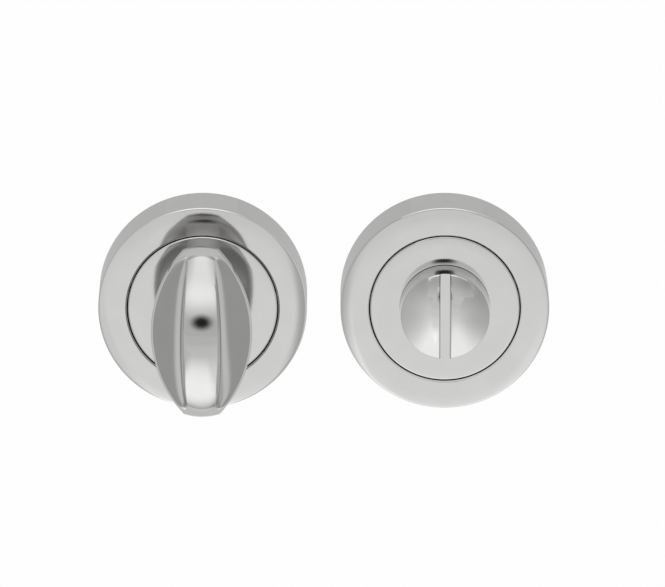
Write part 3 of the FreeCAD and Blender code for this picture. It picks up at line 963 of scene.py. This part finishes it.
def screw_mesh(axis_x, z, screw):
    """Pan-head wood screw with a cross recess and a cut thread."""
    height = screw.head_height
    top = screw.seat + height
    bm = bmesh.new()
    lathe(bm, axis_x, [
        (0.0, top),
        (screw.head_radius * HEAD_FLAT, top, height * HEAD_TOP_ROUND),
        (screw.head_radius, screw.seat + height * HEAD_SHOULDER, height * HEAD_SHOULDER_ROUND),
        (screw.head_radius, screw.seat, height * HEAD_SEAT_ROUND),
        (screw.core, screw.seat),
        (screw.core, screw.point - screw.tip),
        (0.0, -screw.tip),
    ], z, ROD_STEPS)
    middle = at(axis_x, top, z)
    arms = []
    for wide, high in ((screw.recess, screw.recess_width), (screw.recess_width, screw.recess)):
        half = Vector((wide / 2, screw.recess_depth, high / 2))
        arms.append(box_mesh(middle - half, middle + half))
    bm = carved(bm, arms)
    add_thread(bm, axis_x, z, screw)
    return bm


def add_thread(bm, axis_x, z, screw):
    """Wind a sharp thread round the core, shrinking to nothing at the point."""
    start = screw.seat - screw.pitch
    turns = (start + screw.tip) / screw.pitch - 1
    half_width = (screw.radius - screw.core) * THREAD_HALF_WIDTH
    root = screw.core * THREAD_ROOT
    corners = ((screw.radius, start), (root, start + half_width), (root, start - half_width))
    face = bm.faces.new([bm.verts.new(at(axis_x + radius, front, z)) for radius, front in corners])
    bmesh.ops.spin(bm, geom=[face], cent=(axis_x, 0.0, z), axis=(0.0, 1.0, 0.0),
                   dvec=(0.0, screw.pitch / THREAD_STEPS, 0.0), angle=math.tau * turns,
                   steps=round(THREAD_STEPS * turns))
    taper_start = screw.tip - screw.point
    for vert in bm.verts:
        past = vert.co.y - taper_start
        radial = Vector((vert.co.x - axis_x, 0.0, vert.co.z - z))
        limit = screw.radius * max(1 - past / screw.point, THREAD_POINT)
        if past > 0.0 and radial.length > limit:
            vert.co -= radial * (1 - limit / radial.length)


class LOCK_OT_wood_screws(Operator):
    """Make the wood screws of each rose"""
    bl_idname = "lock.wood_screws"
    bl_label = "Wood screws"

    def execute(self, context):
        scene = context.scene
        for half in HALVES:
            pair = bmesh.new()
            for side in (-1, 1):
                one = screw_mesh(AXES[half], side * scene.lock_rose.fixing_radius, scene.lock_screw)
                mesh = bpy.data.meshes.new("one_screw")
                one.to_mesh(mesh)
                one.free()
                pair.from_mesh(mesh)
                bpy.data.meshes.remove(mesh)
            finished_piece(half + "_cut_screws", pair, "steel", "roses", half + "_wood_screws")
        return {"FINISHED"}


class LOCK_OT_fittings(Operator):
    """Give each solid its finish, also those that finer pieces replace"""
    bl_idname = "lock.fittings"
    bl_label = "Finish the fittings"

    def execute(self, context):
        for subpart in frame["record"]["subparts"]:
            node = NODES[subpart["node"]]
            node.data.materials.clear()
            node.data.materials.append(finish_material(subpart["material_slot"]))
        return {"FINISHED"}


# Stage

PAPER_WHITE = 0.99
MATT_WHITE = (0.9, 0.9, 0.9, 1.0)
REFLECTION_SHEET_BACK = 0.19
TURN_CARD_FRONT = 0.04  # the cards are graded about these places in front of the door
RELEASE_CARD_FRONT = 0.02
TURN_CARD_FOOT = (-0.15, -0.105)
BOX_WIDTH = 0.5
BOX_RADIANCE = 1.3


def glow_material(name, level):
    """A stage surface that shows a level to the camera, to mirrors and to glass alike, and is else matt.

    The level is a number, or a function of the surface's wires and its Object coordinates.
    """
    material, shader, wires, coords = new_material(name)
    wires.tree.nodes.remove(shader)
    rays = [wires.node("ShaderNodeLightPath", output="Is " + kind + " Ray")
            for kind in ("Camera", "Glossy", "Transmission")]
    seen = wires.maths("MINIMUM", rays[0] + rays[1] + rays[2], 1.0)
    shown = wires.grey(level(wires, coords)) if callable(level) else (level, level, level, 1.0)
    glow = wires.node("ShaderNodeEmission", None, {"Color": shown})
    matt = wires.node("ShaderNodeBsdfDiffuse", None, {"Color": MATT_WHITE})
    mixed = wires.node("ShaderNodeMixShader", None, {0: seen, 1: matt, 2: glow})
    plug(wires.tree.nodes["Material Output"].inputs["Surface"], mixed)
    return material


def sheet(name, corners, material, hidden=True):
    """One flat face of the stage. A hidden one shows in reflections alone."""
    bm = bmesh.new()
    bm.faces.new([bm.verts.new(corner) for corner in corners])
    made = mesh_object(name, bm)
    made.data.materials.append(material)
    made.visible_camera = not hidden


def reflection_sheet_level(wires, coords):
    """Painted reflection on the sheet on the floor in front of the lock: bright below it, and grey towards the
    camera.
    """
    # painted reflection: the sheet glows at these levels for mirrors alone
    below = wires.axis(coords, "X").ramps(0.58, (-0.32, 0.012, 0.032))
    return wires.axis(coords, "Y").ramps(0.72, (0.10, -1.0, -0.35), (below, -0.36, -0.08),
                                         (-0.88, -0.045, 0.095), (0.48, 0.12, REFLECTION_SHEET_BACK))


def foot_blend(wires, coords, level, low, high):
    """A card's level, which runs into the floor sheet's painted reflection between two heights."""
    floor_shown = reflection_sheet_level(wires, coords)
    return floor_shown + (level - floor_shown) * wires.axis(coords, "Z").smooth_step(low, high)


def turn_card_level(reach):
    """Level of a card beside the turn: dark, with one paler stripe. Reach is the card's distance."""
    def level(wires, coords):
        # painted reflection: the card glows at these levels for mirrors
        depth = wires.axis(coords, "Y") + TURN_CARD_FRONT
        beside = depth.ramps(0.75, (-0.29, -1.9 * reach, 0.1 * reach), (0.28, 0.4 * reach, 0.65 * reach),
                             (-0.22, 0.8 * reach, 1.2 * reach))
        return foot_blend(wires, coords, beside, *TURN_CARD_FOOT)
    return level


def release_card_level(reach, foot, dim):
    """Level of a card beside the release: pale in front, mid grey beside it, bright below and dim above.

    Foot and dim give the heights between which it leaves the floor sheet's level and grows dim.
    """
    def level(wires, coords):
        # painted reflection: the card glows at these levels for mirrors
        depth = wires.axis(coords, "Y") + RELEASE_CARD_FRONT
        above = -0.2 * wires.axis(coords, "Z").smooth_step(*dim)
        beside = depth.ramps(0.72, (-0.2, -2.2 * reach, 0.0), (above, 0.0, -0.02))
        return foot_blend(wires, coords, beside, *foot)
    return level


def flag_level(wires, coords):
    """Level of the flag in front of the release, which keeps the pale sky off the dome's upper part."""
    # painted reflection: the flag glows at these levels for mirrors
    upright = wires.axis(coords, "Z").ramps(0.67, (-0.19, 0.0145, 0.049))
    return wires.axis(coords, "X").ramps(upright, (-0.1, 0.07, 0.1))


def studio_world(elevation):
    """Soft sky of the studio: pale above, mid grey round about, and dark where the camera stands."""
    world = bpy.data.worlds.new("studio")
    world.use_nodes = True
    wires = Wire(world.node_tree)
    direction = wires.node("ShaderNodeTexCoord", output="Generated")
    aside = wires.maths("ABSOLUTE", wires.axis(direction, "X"))
    camera = at(0.0, math.cos(elevation), math.sin(elevation))
    facing = wires.node("ShaderNodeVectorMath", {"operation": "DOT_PRODUCT"}, {0: direction, 1: camera},
                        "Value")
    off_camera = wires.maths("ARCCOSINE", facing)
    round_about = wires.axis(direction, "Y").ramps(0.45, (0.22, -0.1, -0.8), (0.09, 0.1, 0.8))
    overhead = 0.73 * aside.ramps(1.0, (-0.65, 0.15, 0.5))
    sky = wires.axis(direction, "Z").ramps(round_about, (overhead, 0.28, 0.9))
    shown = sky * off_camera.ramps(0.03, (0.97, math.radians(3.5), math.radians(13.5)))
    plug(wires.tree.nodes["Background"].inputs["Color"], wires.grey(shown))
    bpy.context.scene.world = world


def soft_light(name, place, aim):
    """Square soft box, turned towards a point. Mirrors show the sky instead of it."""
    light = bpy.data.lights.new(name, "AREA")
    light.shape = "SQUARE"
    light.size = BOX_WIDTH
    light.energy = BOX_RADIANCE * math.pi * BOX_WIDTH ** 2
    made = bpy.data.objects.new(name, light)
    made.location = place
    made.rotation_euler = (aim - place).to_track_quat("-Z", "Y").to_euler()
    made.visible_camera = False
    made.visible_glossy = False
    bpy.context.scene.collection.objects.link(made)


class LOCK_OT_stage(Operator):
    """Set up the floor, the side cards, the light and the camera"""
    bl_idname = "lock.stage"
    bl_label = "Set the stage"

    IMAGE_WIDTH = 665
    SENSOR = 36.0
    FLOOR_REACH = 20.0
    REFLECTION_SHEET_LIFT = 0.001
    CARD_REACH = 0.11
    CARD_BACK = 1.2
    OUTER_FRONT = -0.3
    INNER_FRONT = -0.1
    FLAG_FRONT = 0.07
    FLAG_GAP = 0.0015
    FLAG_RIGHT = 0.11
    FLAG_FOOT = 0.019
    FLAG_HEAD = 0.11
    NOTCH_LEFT = 0.047
    NOTCH_RIGHT = 0.069
    NOTCH_HEAD = 0.036
    OVERHEAD_BOX = Vector((-0.2, -0.3, 0.8))
    REAR_BOX = Vector((0.4, 0.8, 0.5))

    def execute(self, context):
        stage = context.scene.lock_stage
        middle = (AXES["turn"] + AXES["release"]) / 2
        self.floor(stage)
        self.cards(stage, middle)
        self.flag(middle)
        between = Vector((middle, 0.0, 0.0))
        soft_light("overhead_box", between + self.OVERHEAD_BOX, between)
        soft_light("rear_box", between + self.REAR_BOX, between)
        studio_world(stage.elevation)
        self.camera(context.scene, stage, middle)
        context.scene.view_settings.view_transform = "Standard"
        return {"FINISHED"}

    def floor(self, stage):
        """White floor, with a sheet on it in front of the lock that shows a graded painted reflection in mirrors
        alone.
        """
        self.floor_sheet("floor", self.FLOOR_REACH, -stage.floor_drop,
                         glow_material("white_paper", PAPER_WHITE), False)
        self.floor_sheet("floor_cloth", REFLECTION_SHEET_BACK, self.REFLECTION_SHEET_LIFT - stage.floor_drop,
                         glow_material("floor_cloth", reflection_sheet_level), True)

    def floor_sheet(self, name, back, z, material, hidden):
        far = self.FLOOR_REACH
        sheet(name, [(-far, -far, z), (far, -far, z), (far, back, z), (-far, back, z)], material, hidden)

    def cards(self, stage, middle):
        """Cards outside the two halves and between them."""
        foot, head, top = stage.card_foot, stage.card_head, stage.card_top
        gap, low_top = stage.divider_gap, stage.divider_top
        inner_reach = middle - gap
        self.card("turn_card_left", middle - foot, middle - head, self.OUTER_FRONT, top,
                  turn_card_level(self.CARD_REACH))
        self.card("turn_card_right", middle - gap, middle - gap, self.INNER_FRONT, low_top,
                  turn_card_level(inner_reach))
        self.card("release_card_left", middle + gap, middle + gap, self.INNER_FRONT, low_top,
                  release_card_level(inner_reach, foot=(-0.062, 0.0), dim=(0.0, 0.036)))
        self.card("release_card_right", middle + foot, middle + head, self.OUTER_FRONT, top,
                  release_card_level(self.CARD_REACH, foot=(-0.12, -0.04), dim=(-0.06, 0.06)))

    def card(self, name, foot, head, front, top, level):
        """One side card from the floor up, given by the places of its foot and its head across the stage."""
        low = -bpy.context.scene.lock_stage.floor_drop
        sheet(name, [(foot, front, low), (foot, self.CARD_BACK, low), (head, self.CARD_BACK, top),
                     (head, front, top)], glow_material(name, level))

    def flag(self, middle):
        """Flag in front of the release, with a notch that leaves the camera's place in view."""
        left, right = middle + self.FLAG_GAP, self.FLAG_RIGHT
        foot, head = self.FLAG_FOOT, self.FLAG_HEAD
        notch = [(self.NOTCH_LEFT, foot), (self.NOTCH_LEFT, self.NOTCH_HEAD),
                 (self.NOTCH_RIGHT, self.NOTCH_HEAD), (self.NOTCH_RIGHT, foot)]
        outline = [(left, foot), *notch, (right, foot), (right, head), (left, head)]
        sheet("release_flag", [at(x, self.FLAG_FRONT, z) for x, z in outline],
              glow_material("release_flag", flag_level))

    def camera(self, scene, stage, middle):
        """Camera at the photograph's angle, with its scale at the roses' faces."""
        aim = at(middle + stage.aim_right, ROSE_FACE, stage.aim_up)
        away = at(0.0, math.cos(stage.elevation), math.sin(stage.elevation))
        lens = bpy.data.cameras.new("camera")
        lens.sensor_width = self.SENSOR
        lens.lens = stage.scale * stage.distance * self.SENSOR / self.IMAGE_WIDTH
        camera = bpy.data.objects.new("camera", lens)
        camera.location = aim + away * stage.distance
        camera.rotation_euler = (-away).to_track_quat("-Z", "Y").to_euler()
        scene.collection.objects.link(camera)
        scene.camera = camera


class LOCK_PT_sidebar(Panel):
    """Lists the lock's pieces and their sizes"""
    bl_label = "Thumb turn lock"
    bl_idname = "LOCK_PT_sidebar"
    bl_space_type = "VIEW_3D"
    bl_region_type = "UI"
    bl_category = "Lock"

    def draw(self, context):
        for operator in OPERATORS:
            self.layout.operator(operator.bl_idname)
        for name in GROUPS:
            group = getattr(context.scene, name)
            for size in group.__annotations__:
                self.layout.prop(group, size)


GROUPS = {
    "lock_rose": LockRose,
    "lock_shank": LockShank,
    "lock_turn": LockTurn,
    "lock_release": LockRelease,
    "lock_screw": LockScrew,
    "lock_finish": LockFinish,
    "lock_stage": LockStage,
}
OPERATORS = (LOCK_OT_fittings, LOCK_OT_cover_rings, LOCK_OT_sub_roses, LOCK_OT_thumb_turn, LOCK_OT_release,
             LOCK_OT_wood_screws, LOCK_OT_stage)
CLASSES = tuple(GROUPS.values()) + OPERATORS + (LOCK_PT_sidebar,)


def register():
    for kind in CLASSES:
        bpy.utils.register_class(kind)
    for name, kind in GROUPS.items():
        setattr(bpy.types.Scene, name, PointerProperty(type=kind))


def unregister():
    for name in GROUPS:
        delattr(bpy.types.Scene, name)
    for kind in reversed(CLASSES):
        bpy.utils.unregister_class(kind)


def main():
    register()
    bpy.ops.lock.fittings()
    bpy.ops.lock.cover_rings()
    bpy.ops.lock.sub_roses()
    bpy.ops.lock.thumb_turn()
    bpy.ops.lock.release()
    bpy.ops.lock.wood_screws()
    bpy.ops.lock.stage()


if __name__ == "__main__":
    main()
